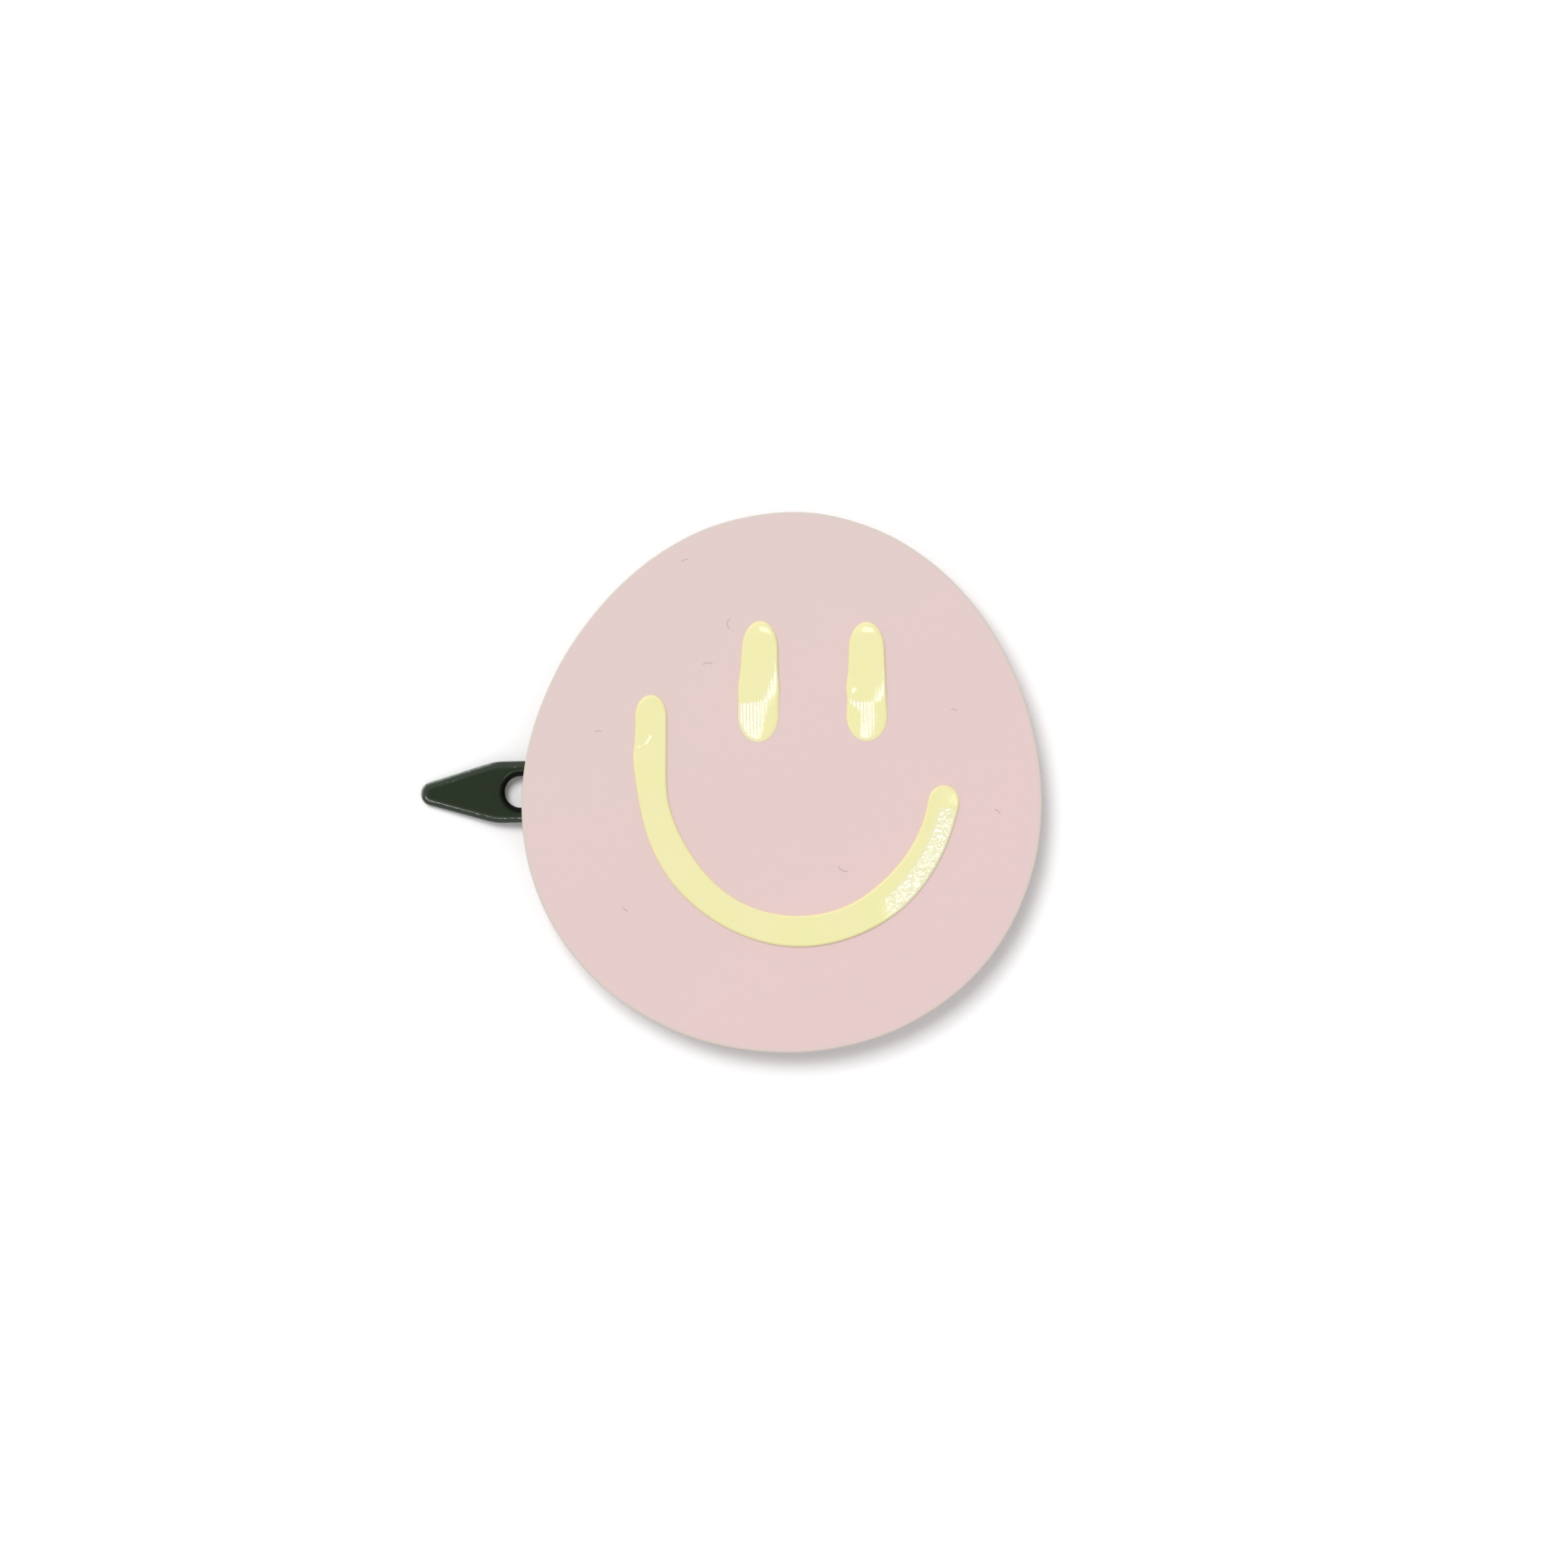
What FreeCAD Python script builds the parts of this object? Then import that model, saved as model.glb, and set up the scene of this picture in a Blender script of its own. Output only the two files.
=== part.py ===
"""Hair clip with a hand-made smiley disc, as separate pieces.

A pink disc with three raised paint strokes is glued on a painted steel snap clip. The clip is one
pressed sheet: a frame with a narrow nose, two arms and a round heel, and a sprung tongue inside the
frame's opening. It is arched along its length. The clip lies along X with its nose towards -X, and its
nose and heel stand on Z = 0. Millimetres.
"""
import FreeCAD, Part
import math
import os

import Sketcher
from FreeCAD import Placement, Rotation, Vector

# Driving dimensions: alias, value, meaning.
SIZES = [
    ("sheet_thick", 0.9, "painted sheet thickness"),
    ("crown_rise", 2.0, "height of the arch's crown above the nose and heel"),
    ("blank_height", 7.0, "height of the blank that the sheet is cut from"),
    ("band_width", 24.0, "width over which the sheet's surfaces are cut"),
    ("overrun", 3.0, "how far those cuts run past the clip's ends"),
    ("tip_x", -29.96, "front end of the nose"),
    ("nose_flat_x", -32.0, "where the arch starts, just in front of the nose"),
    ("heel_flat_x", 10.0, "where the arch ends and the heel's flat starts"),
    ("heel_end_x", 20.0, "rear end of the heel"),
    ("tip_half", 0.88, "half width at the front end of the nose"),
    ("shoulder_x", -22.76, "where the nose reaches the width of the neck"),
    ("neck_half", 3.0, "half width of the neck"),
    ("neck_end_x", -15.0, "where the neck starts to flare"),
    ("hip_x", 12.5, "where the flare reaches the width of the heel"),
    ("heel_half", 6.6, "half width of the heel"),
    ("nose_round", 1.15, "corner radius of the nose"),
    ("shoulder_round", 6.0, "corner radius of the shoulder"),
    ("neck_round", 20.0, "radius where the neck flares"),
    ("heel_round", 6.0, "corner radius of the heel"),
    ("opening_front_x", -21.76, "front end of the frame's opening"),
    ("opening_front_half", 1.5, "half width of the opening's front stretch"),
    ("opening_front_round", 1.49, "corner radius of the opening's front end"),
    ("opening_rear_x", 8.5, "rear edge of the frame's opening"),
    ("opening_rear_half", 4.15, "half width of the opening at its rear"),
    ("opening_rear_round", 0.6, "corner radius of the opening's rear end"),
    ("tongue_tip_x", -17.6, "free end of the tongue"),
    ("tongue_tip_half", 1.0, "half width of the tongue's free end"),
    ("tongue_tip_round", 0.99, "corner radius of the tongue's free end"),
    ("tongue_root_x", 8.1, "rear end of the tongue"),
    ("tongue_root_half", 3.6, "half width of the tongue at its root"),
    ("sheet_edge_round", 0.4, "radius of the sheet's upper edges"),
    ("disc_x", 5.18, "disc centre along the clip"),
    ("disc_y", -0.17, "disc centre across the clip"),
    ("disc_bottom", 3.15, "height of the disc's flat back"),
    ("disc_thick", 1.3, "disc thickness"),
    ("face_turn", -1.3, "turn of the disc about Z against the clip, degrees"),
    ("disc_radius", 25.47, "mean radius of the disc"),
    ("oval_swing", 0.544, "how far the outline is oval"),
    ("oval_phase", 161.7, "phase of the oval swing, degrees"),
    ("lobe_swing", 0.522, "how far the outline is three-sided"),
    ("lobe_phase", -109.2, "phase of the three-sided swing, degrees"),
    ("rim_top_round", 0.4, "radius of the disc's upper rim"),
    ("rim_back_round", 0.4, "radius of the disc's lower rim"),
    ("paint_thick", 0.4, "height of the paint strokes above the disc"),
    ("paint_round", 0.32, "radius of the paint strokes' upper edges"),
    ("eye_top_radius", 1.85, "radius of an eye's upper end"),
    ("eye_low_radius", 2.02, "radius of an eye's lower end"),
    ("eye_pitch", 7.8, "distance between the centres of an eye's two ends"),
    ("left_eye_x", -2.45, "lower end of the left eye, across the face"),
    ("left_eye_lean", -1.5, "lean of the left eye, degrees"),
    ("right_eye_x", 7.98, "lower end of the right eye, across the face"),
    ("right_eye_lean", 0.0, "lean of the right eye, degrees"),
    ("eye_y", 6.38, "lower ends of both eyes, up the face"),
    ("smile_x", 1.45, "centre of the smile's curve, across the face"),
    ("smile_y", 1.6, "centre of the smile's curve, up the face"),
    ("smile_depth", 15.4, "depth of the smile's elliptical curve"),
    ("smile_half_span", 14.2, "half the width of the smile's elliptical curve"),
    ("smile_upright", 5.85, "straight upright at the smile's left end"),
    ("smile_end_angle", 349.0, "where the smile's right end lies on its ellipse, degrees"),
    ("smile_half", 1.52, "half the width of the smile's stroke"),
    ("arm_glue_x", -9.0, "centre of the beads on the arms, along the clip"),
    ("arm_glue_y", 3.42, "centre of the beads on the arms, across the clip"),
    ("arm_glue_half", 1.15, "half width of the beads on the arms"),
    ("arm_glue_pitch", 9.0, "distance between the centres of such a bead's round ends"),
    ("arm_glue_foot", 2.2, "height of the lowest point of such a bead"),
    ("arm_slope", 6.66, "angle of the arms to the clip's axis, degrees"),
    ("heel_glue_x", 14.3, "centre of the bead on the heel"),
    ("heel_glue_radius", 3.3, "radius of the bead on the heel"),
]
OUTLINE_POINTS = 24
SMILE_POINTS = 13
CLOSE = 0.01

QUARTER = "(sizes.heel_flat_x - sizes.nose_flat_x) / 4"
BEND = f"(({QUARTER}) ^ 2 / sizes.crown_rise + sizes.crown_rise / 4)"

doc = FreeCAD.newDocument("smiley_hair_clip")


def make_sheet():
    """Write the driving dimensions into the document's spreadsheet."""
    sheet = doc.addObject("Spreadsheet::Sheet", "sizes")
    for row, (alias, value, meaning) in enumerate(SIZES, start=1):
        sheet.set(f"A{row}", meaning)
        sheet.set(f"B{row}", str(value))
        sheet.setAlias(f"B{row}", alias)
    doc.recompute()
    return sheet


sizes = make_sheet()


def size(alias):
    """The number in a cell of the spreadsheet."""
    return float(getattr(sizes, alias))


def bind(item, expressions):
    for name, expression in expressions.items():
        item.setExpression(name, expression)


def new_body(label):
    body = doc.addObject("PartDesign::Body", label)
    body.Label = label
    return body


def new_sketch(body, name, role="XY_Plane"):
    """A sketch on one of the body's own origin planes."""
    sketch = body.newObject("Sketcher::SketchObject", name)
    plane = next(item for item in body.Origin.OriginFeatures if item.Role == role)
    sketch.AttachmentSupport = [(plane, "")]
    sketch.MapMode = "FlatFace"
    return sketch


def dimension(sketch, kind, where, value, expression):
    """Add a driving dimension to a sketch and bind it to an expression."""
    index = sketch.addConstraint(Sketcher.Constraint(kind, *where, value))
    sketch.setExpression(f"Constraints[{index}]", expression)


def locate(sketch, edge, end, point, x_expression, y_expression):
    """Fix one point of a sketch by its two coordinates."""
    dimension(sketch, "DistanceX", (edge, end), point.x, x_expression)
    dimension(sketch, "DistanceY", (edge, end), point.y, y_expression)


def join_edges(sketch, edges):
    """Join the end of each edge to the start of the next one, all the way round."""
    for edge, following in zip(edges, edges[1:] + edges[:1]):
        sketch.addConstraint(Sketcher.Constraint("Coincident", edge, 2, following, 1))


def pad(body, name, sketch, expression, symmetric=False):
    feature = body.newObject("PartDesign::Pad", name)
    feature.Profile = sketch
    if symmetric:
        feature.SideType = "Symmetric"
    feature.setExpression("Length", expression)
    doc.recompute()
    return feature


def cut_through(body, name, sketch):
    """Cut through the whole body both ways and make sure that it loses material."""
    before = body.Shape.Volume
    feature = body.newObject("PartDesign::Pocket", name)
    feature.Profile = sketch
    feature.Type = "ThroughAll"
    feature.SideType = "Symmetric"
    doc.recompute()
    if body.Shape.Volume > before - CLOSE:
        raise RuntimeError(f"{name} cuts nothing")
    return feature


def round_edges(body, name, chosen, alias):
    """Fillet the edges of the body's tip that the test picks."""
    tip = body.Tip
    edges = [f"Edge{number}" for number, edge in enumerate(tip.Shape.Edges, start=1) if chosen(edge)]
    if not edges:
        raise RuntimeError(f"{name} finds no edge")
    feature = body.newObject("PartDesign::Fillet", name)
    feature.Base = (tip, edges)
    feature.setExpression("Radius", f"sizes.{alias}")
    doc.recompute()
    return feature


def middle(edge):
    return edge.valueAt((edge.FirstParameter + edge.LastParameter) / 2)


def upright_at(x_alias, half_alias):
    """A test for the two vertical edges at a station of an outline."""
    def chosen(edge):
        start, end = edge.Vertexes[0].Point, edge.Vertexes[-1].Point
        upright = math.hypot(start.x - end.x, start.y - end.y) < CLOSE < abs(start.z - end.z)
        near_x = abs(start.x - size(x_alias)) < CLOSE
        near_y = abs(abs(start.y) - size(half_alias)) < CLOSE
        return upright and near_x and near_y
    return chosen


def arch_height(x):
    """Height of the sheet's lower surface at a place along the clip."""
    quarter = (size("heel_flat_x") - size("nose_flat_x")) / 4
    bend = quarter ** 2 / size("crown_rise") + size("crown_rise") / 4
    from_flat = min(x - size("nose_flat_x"), size("heel_flat_x") - x)
    if from_flat <= 0:
        return 0.0
    if from_flat <= quarter:
        return bend - math.sqrt(bend ** 2 - from_flat ** 2)
    from_crown = 2 * quarter - from_flat
    return size("crown_rise") - bend + math.sqrt(bend ** 2 - from_crown ** 2)


def on_upper_surface(edge):
    point = middle(edge)
    return abs(point.z - arch_height(point.x) - size("sheet_thick")) < 10 * CLOSE


def arch_path(body):
    """The line of the sheet's lower surface: an arch of three tangent arcs, then the flat heel."""
    nose, heel = size("nose_flat_x"), size("heel_flat_x")
    quarter = (heel - nose) / 4
    stations = [
        (size("tip_x") - size("overrun"), "sizes.tip_x - sizes.overrun", "0"),
        (nose, "sizes.nose_flat_x", "0"),
        (nose + quarter, f"sizes.nose_flat_x + {QUARTER}", "sizes.crown_rise / 2"),
        (heel - quarter, f"sizes.heel_flat_x - {QUARTER}", "sizes.crown_rise / 2"),
        (heel, "sizes.heel_flat_x", "0"),
        (size("heel_end_x") + size("overrun"), "sizes.heel_end_x + sizes.overrun", "0"),
    ]
    path = new_sketch(body, body.Label + "_path", "XZ_Plane")
    for number, (here, following) in enumerate(zip(stations, stations[1:])):
        places = (here[0], (here[0] + following[0]) / 2, following[0])
        start, half_way, end = [Vector(x, arch_height(x), 0) for x in places]
        if number in (0, 4):
            path.addGeometry(Part.LineSegment(start, end))
        else:
            path.addGeometry(Part.Arc(start, half_way, end))
    # A sketch's arcs run anticlockwise, so the crown's arc starts at its rear end.
    ends = [(1, 2), (1, 2), (2, 1), (1, 2), (1, 2)]
    for edge in range(4):
        meeting = (edge, ends[edge][1], edge + 1, ends[edge + 1][0])
        path.addConstraint(Sketcher.Constraint("Coincident", *meeting))
    points = [(edge, ends[edge][0]) for edge in range(5)] + [(4, 2)]
    for (edge, end), (x, x_expression, z_expression) in zip(points, stations):
        locate(path, edge, end, Vector(x, arch_height(x), 0), x_expression, z_expression)
    for edge in (1, 2, 3):
        dimension(path, "Radius", (edge,), path.Geometry[edge].Radius, BEND)
    doc.recompute()
    return path


def sweep_away(body, name, path, low, low_expression, high, high_expression):
    """Remove all that lies between two heights above the arch's line."""
    section = new_sketch(body, name + "_section", "YZ_Plane")
    section.setExpression("AttachmentOffset.Base.z", "sizes.tip_x - sizes.overrun")
    half = size("band_width") / 2
    corners = [Vector(-half, low, 0), Vector(half, low, 0), Vector(half, high, 0), Vector(-half, high, 0)]
    rectangle(section, corners)
    locate(section, 0, 1, corners[0], "-sizes.band_width / 2", low_expression)
    locate(section, 2, 1, corners[2], "sizes.band_width / 2", high_expression)
    doc.recompute()
    before = body.Shape.Volume
    waste = body.newObject("PartDesign::SubtractivePipe", name)
    waste.Profile = section
    waste.Spine = (path, [f"Edge{number}" for number in range(1, 6)])
    doc.recompute()
    if body.Shape.Volume > before - CLOSE:
        raise RuntimeError(f"{name} cuts nothing")


def rectangle(sketch, corners):
    """Add a rectangle with level and upright sides."""
    for here, following in zip(corners, corners[1:] + corners[:1]):
        sketch.addGeometry(Part.LineSegment(here, following))
    join_edges(sketch, [0, 1, 2, 3])
    for edge, kind in enumerate(["Horizontal", "Vertical", "Horizontal", "Vertical"]):
        sketch.addConstraint(Sketcher.Constraint(kind, edge))


def press_to_arch(body):
    """Thin a tall plan shape down to the arched sheet and round its upper edges."""
    path = arch_path(body)
    thick, reach = size("sheet_thick"), size("blank_height")
    reach_expression = "sizes.blank_height"
    above = (thick, "sizes.sheet_thick", reach, reach_expression)
    sweep_away(body, body.Label + "_above", path, *above)
    sweep_away(body, body.Label + "_below", path, -reach, "-" + reach_expression, 0, "0")
    round_edges(body, body.Label + "_top_edges", on_upper_surface, "sheet_edge_round")


def mirrored_outline(sketch, stations):
    """Add a closed outline, mirrored about the X axis, from stations of position and half width."""
    upper = [Vector(size(x), size(half), 0) for x, half in stations]
    lower = [Vector(point.x, -point.y, 0) for point in reversed(upper)]
    corners = upper + lower
    for here, following in zip(corners, corners[1:] + corners[:1]):
        sketch.addGeometry(Part.LineSegment(here, following))
    edges = list(range(len(corners)))
    join_edges(sketch, edges)
    for edge, point, (x, half) in zip(edges, upper, stations):
        locate(sketch, edge, 1, point, f"sizes.{x}", f"sizes.{half}")
    for edge, mirror in zip(edges, reversed(edges)):
        if edge < mirror:
            sketch.addConstraint(Sketcher.Constraint("Symmetric", edge, 1, mirror, 1, -1))
    doc.recompute()


def plan_shape(body, stations, rounds):
    """Pad an outline taller than the sheet, above and below it, and round the outline's corners."""
    sketch = new_sketch(body, body.Label + "_outline")
    mirrored_outline(sketch, stations)
    pad(body, body.Label + "_plan", sketch, "sizes.blank_height", symmetric=True)
    for station, alias in rounds:
        round_edges(body, f"{body.Label}_{alias}", upright_at(*station), alias)


def make_frame():
    """Nose, two arms and heel: one sheet with a long opening for the tongue."""
    body = new_body("clip_frame")
    tip, shoulder = ("tip_x", "tip_half"), ("shoulder_x", "neck_half")
    neck, hip = ("neck_end_x", "neck_half"), ("hip_x", "heel_half")
    heel = ("heel_end_x", "heel_half")
    rounds = [
        (tip, "nose_round"), (shoulder, "shoulder_round"), (neck, "neck_round"), (heel, "heel_round"),
    ]
    plan_shape(body, [tip, shoulder, neck, hip, heel], rounds)
    front, bend = ("opening_front_x", "opening_front_half"), ("neck_end_x", "opening_front_half")
    rear = ("opening_rear_x", "opening_rear_half")
    opening = new_sketch(body, "clip_frame_opening")
    mirrored_outline(opening, [front, bend, rear])
    cut_through(body, "clip_frame_slot", opening)
    round_edges(body, "clip_frame_opening_front", upright_at(*front), "opening_front_round")
    round_edges(body, "clip_frame_opening_rear", upright_at(*rear), "opening_rear_round")
    press_to_arch(body)
    return body


def make_tongue():
    """Sprung strip inside the opening, free at the front and joined to the heel by its root."""
    body = new_body("clip_tongue")
    tip, neck = ("tongue_tip_x", "tongue_tip_half"), ("neck_end_x", "tongue_tip_half")
    root = ("tongue_root_x", "tongue_root_half")
    plan_shape(body, [tip, neck, root], [(tip, "tongue_tip_round")])
    press_to_arch(body)
    return body


def place_on_face(body, height):
    """Stand a body on the disc's own axes, at a height above the table."""
    body.Placement = Placement(Vector(), Rotation(Vector(0, 0, 1), size("face_turn")))
    bind(body, {
        "Placement.Base.x": "sizes.disc_x",
        "Placement.Base.y": "sizes.disc_y",
        "Placement.Base.z": height,
        "Placement.Rotation.Angle": "sizes.face_turn",
    })


def make_disc():
    """Hand-shaped disc: a circle, slightly oval and slightly three-sided, with soft rims."""
    body = new_body("face_disc")
    points = []
    for number in range(OUTLINE_POINTS):
        angle = 2 * math.pi * number / OUTLINE_POINTS
        oval = size("oval_swing") * math.cos(2 * angle - math.radians(size("oval_phase")))
        lobes = size("lobe_swing") * math.cos(3 * angle - math.radians(size("lobe_phase")))
        radius = size("disc_radius") + oval + lobes
        points.append(Vector(radius * math.cos(angle), radius * math.sin(angle), 0))
    outline = Part.BSplineCurve()
    outline.interpolate(Points=points, PeriodicFlag=True)
    sketch = new_sketch(body, "face_disc_outline")
    sketch.addGeometry(outline)
    doc.recompute()
    pad(body, "face_disc_pad", sketch, "sizes.disc_thick")
    top = size("disc_thick") - CLOSE
    round_edges(body, "face_disc_rim", lambda edge: middle(edge).z > top, "rim_top_round")
    round_edges(body, "face_disc_back", lambda edge: middle(edge).z < CLOSE, "rim_back_round")
    place_on_face(body, "sizes.disc_bottom")
    return body


def paint_stroke(body, sketch):
    """Raise a stroke's outline from the disc and round its upper edge."""
    doc.recompute()
    pad(body, body.Label + "_pad", sketch, "sizes.paint_thick")
    top = size("paint_thick") - CLOSE
    round_edges(body, body.Label + "_dome", lambda edge: middle(edge).z > top, "paint_round")
    place_on_face(body, "sizes.disc_bottom + sizes.disc_thick")
    return body


def make_eye(side):
    """Upright stroke with two round ends, the upper one smaller."""
    body = new_body(f"{side}_eye")
    low_radius, top_radius, pitch = size("eye_low_radius"), size("eye_top_radius"), size("eye_pitch")
    lean = math.radians(size(f"{side}_eye_lean"))
    low = Vector(size(f"{side}_eye_x"), size("eye_y"), 0)
    along = Vector(-math.sin(lean), math.cos(lean), 0)
    across = Vector(math.cos(lean), math.sin(lean), 0)
    top = low + along * pitch
    rise = (low_radius - top_radius) / pitch
    run = math.sqrt(1 - rise ** 2)
    right, left = across * run + along * rise, along * rise - across * run
    sketch = new_sketch(body, body.Label + "_outline")
    top_right, top_left = top + right * top_radius, top + left * top_radius
    low_right, low_left = low + right * low_radius, low + left * low_radius
    sketch.addGeometry(Part.LineSegment(low_right, top_right))
    sketch.addGeometry(Part.Arc(top_right, top + along * top_radius, top_left))
    sketch.addGeometry(Part.LineSegment(top_left, low_left))
    sketch.addGeometry(Part.Arc(low_left, low - along * low_radius, low_right))
    for edge, following in ((0, 1), (1, 2), (2, 3), (3, 0)):
        sketch.addConstraint(Sketcher.Constraint("Tangent", edge, 2, following, 1))
    dimension(sketch, "Radius", (1,), top_radius, "sizes.eye_top_radius")
    dimension(sketch, "Radius", (3,), low_radius, "sizes.eye_low_radius")
    turn = f"(sizes.{side}_eye_lean * 1 deg)"
    locate(sketch, 3, 3, low, f"sizes.{side}_eye_x", "sizes.eye_y")
    top_x = f"sizes.{side}_eye_x - sizes.eye_pitch * sin{turn}"
    locate(sketch, 1, 3, top, top_x, f"sizes.eye_y + sizes.eye_pitch * cos{turn}")
    return paint_stroke(body, sketch)


def smile_side(offset):
    """Points along one side of the smile's curve and its tangents at both ends."""
    points, tangents = [], []
    for number in range(SMILE_POINTS):
        share = number / (SMILE_POINTS - 1)
        angle = math.pi + share * (math.radians(size("smile_end_angle")) - math.pi)
        across, down = size("smile_half_span"), size("smile_depth")
        tangent = Vector(-across * math.sin(angle), down * math.cos(angle), 0).normalize()
        centre = Vector(size("smile_x"), size("smile_y"), 0)
        centre += Vector(across * math.cos(angle), down * math.sin(angle), 0)
        points.append(centre + Vector(tangent.y, -tangent.x, 0) * offset)
        tangents.append(tangent)
    return points, tangents


def side_curve(points, tangents):
    curve = Part.BSplineCurve()
    curve.interpolate(Points=points, InitialTangent=tangents[0], FinalTangent=tangents[-1])
    return curve


def make_smile():
    """One stroke: an upright, then a curve that runs under the eyes, both ends round."""
    body = new_body("smile")
    half = size("smile_half")
    outer, tangents = smile_side(half)
    inner, _ = smile_side(-half)
    upright = Vector(0, size("smile_upright"), 0)
    left_end = (outer[0] + inner[0]) / 2 + upright
    right_end = (outer[-1] + inner[-1]) / 2
    sketch = new_sketch(body, "smile_outline")
    sketch.addGeometry(Part.LineSegment(outer[0] + upright, outer[0]))
    sketch.addGeometry(side_curve(outer, tangents))
    sketch.addGeometry(Part.Arc(outer[-1], right_end + tangents[-1] * half, inner[-1]))
    backwards = [tangent * -1 for tangent in reversed(tangents)]
    sketch.addGeometry(side_curve(inner[::-1], backwards))
    sketch.addGeometry(Part.LineSegment(inner[0], inner[0] + upright))
    sketch.addGeometry(Part.Arc(inner[0] + upright, left_end + Vector(0, half, 0), outer[0] + upright))
    return paint_stroke(body, sketch)


def make_arm_glue(label, side, frame):
    """Bead squeezed between one arm and the disc, a little wider than the arm."""
    blank = new_body(label + "_blank")
    half, pitch = size("arm_glue_half"), size("arm_glue_pitch") / 2
    sketch = new_sketch(blank, label + "_outline")
    low_front, low_rear = Vector(-pitch, -half, 0), Vector(pitch, -half, 0)
    top_front, top_rear = Vector(-pitch, half, 0), Vector(pitch, half, 0)
    sketch.addGeometry(Part.LineSegment(low_front, low_rear))
    sketch.addGeometry(Part.Arc(low_rear, Vector(pitch + half, 0, 0), top_rear))
    sketch.addGeometry(Part.LineSegment(top_rear, top_front))
    sketch.addGeometry(Part.Arc(top_front, Vector(-pitch - half, 0, 0), low_front))
    for edge, following in ((0, 1), (1, 2), (2, 3), (3, 0)):
        sketch.addConstraint(Sketcher.Constraint("Tangent", edge, 2, following, 1))
    dimension(sketch, "Radius", (1,), half, "sizes.arm_glue_half")
    locate(sketch, 1, 3, Vector(pitch, 0, 0), "sizes.arm_glue_pitch / 2", "0")
    locate(sketch, 3, 3, Vector(-pitch, 0, 0), "-sizes.arm_glue_pitch / 2", "0")
    doc.recompute()
    pad(blank, label + "_pad", sketch, "sizes.disc_bottom - sizes.arm_glue_foot")
    blank.Placement = Placement(Vector(), Rotation(Vector(0, 0, 1), side * size("arm_slope")))
    bind(blank, {
        "Placement.Base.x": "sizes.arm_glue_x",
        "Placement.Base.y": f"{side} * sizes.arm_glue_y",
        "Placement.Base.z": "sizes.arm_glue_foot",
    })
    bead = doc.addObject("Part::Cut", label)
    bead.Base = blank
    bead.Tool = frame
    bead.Label = label
    doc.recompute()
    return bead


def make_heel_glue():
    """Round bead between the heel's flat and the disc."""
    bead = doc.addObject("Part::Cylinder", "glue_heel")
    bead.Label = "glue_heel"
    bind(bead, {
        "Radius": "sizes.heel_glue_radius",
        "Height": "sizes.disc_bottom - sizes.sheet_thick",
        "Placement.Base.x": "sizes.heel_glue_x",
        "Placement.Base.z": "sizes.sheet_thick",
    })
    return bead


def check(parts):
    """Stop if any object failed or any piece isn't one valid solid."""
    for item in doc.Objects:
        if "Invalid" in item.State or "Error" in item.State:
            raise RuntimeError(f"{item.Label} failed: {item.State}")
    for part in parts:
        shape = part.Shape
        if shape.isNull() or not shape.isValid() or len(shape.Solids) != 1:
            raise RuntimeError(f"{part.Label} isn't one valid solid")


def main():
    frame = make_frame()
    parts = [
        frame,
        make_tongue(),
        make_disc(),
        make_eye("left"),
        make_eye("right"),
        make_smile(),
        make_arm_glue("glue_upper_arm", 1, frame),
        make_arm_glue("glue_lower_arm", -1, frame),
        make_heel_glue(),
    ]
    doc.recompute()
    check(parts)
    os.makedirs("parts", exist_ok=True)
    whole = FreeCAD.BoundBox()
    for part in parts:
        part.Shape.exportStep(f"parts/{part.Label}.step")
        box = part.Shape.BoundBox
        whole.add(box)
        print(f"{part.Label}: {part.Shape.Volume:.2f} mm3, x {box.XMin:.2f} to {box.XMax:.2f}, "
              f"y {box.YMin:.2f} to {box.YMax:.2f}, z {box.ZMin:.2f} to {box.ZMax:.2f}")
    print(f"whole: x {whole.XMin:.3f} to {whole.XMax:.3f}, y {whole.YMin:.3f} to {whole.YMax:.3f}, "
          f"z {whole.ZMin:.3f} to {whole.ZMax:.3f}")


main()
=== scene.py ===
"""Looks of the smiley hair clip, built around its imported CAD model.

The row frame has +X along the clip from its nose to its heel and +Z out of the face. Shapes are worked out
in millimetres, either in that frame or on the face, and become metres when their mesh is made. The face has
its own axes: its origin is the disc's centre on the disc's top, x runs across the face and y up it.
"""
import math

import bmesh
import bpy
from mathutils import Matrix, Vector, noise


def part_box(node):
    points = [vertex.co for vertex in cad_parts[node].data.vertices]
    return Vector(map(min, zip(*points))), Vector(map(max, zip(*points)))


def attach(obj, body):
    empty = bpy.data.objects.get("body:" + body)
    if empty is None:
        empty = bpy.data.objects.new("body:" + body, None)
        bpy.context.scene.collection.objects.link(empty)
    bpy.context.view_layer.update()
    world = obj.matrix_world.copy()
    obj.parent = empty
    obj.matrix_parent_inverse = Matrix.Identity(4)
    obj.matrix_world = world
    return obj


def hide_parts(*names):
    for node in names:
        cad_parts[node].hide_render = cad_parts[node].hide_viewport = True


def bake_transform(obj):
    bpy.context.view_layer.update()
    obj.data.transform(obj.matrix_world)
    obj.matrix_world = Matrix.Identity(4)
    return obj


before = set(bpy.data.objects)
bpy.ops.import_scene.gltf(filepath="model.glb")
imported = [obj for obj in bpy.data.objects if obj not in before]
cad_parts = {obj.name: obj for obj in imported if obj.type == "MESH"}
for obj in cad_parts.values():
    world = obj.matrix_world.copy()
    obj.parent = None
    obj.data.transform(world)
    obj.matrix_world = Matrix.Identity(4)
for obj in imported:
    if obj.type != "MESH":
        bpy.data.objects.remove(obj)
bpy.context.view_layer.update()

MM = 0.001
TO_METRES = Matrix.Scale(MM, 4)

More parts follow.
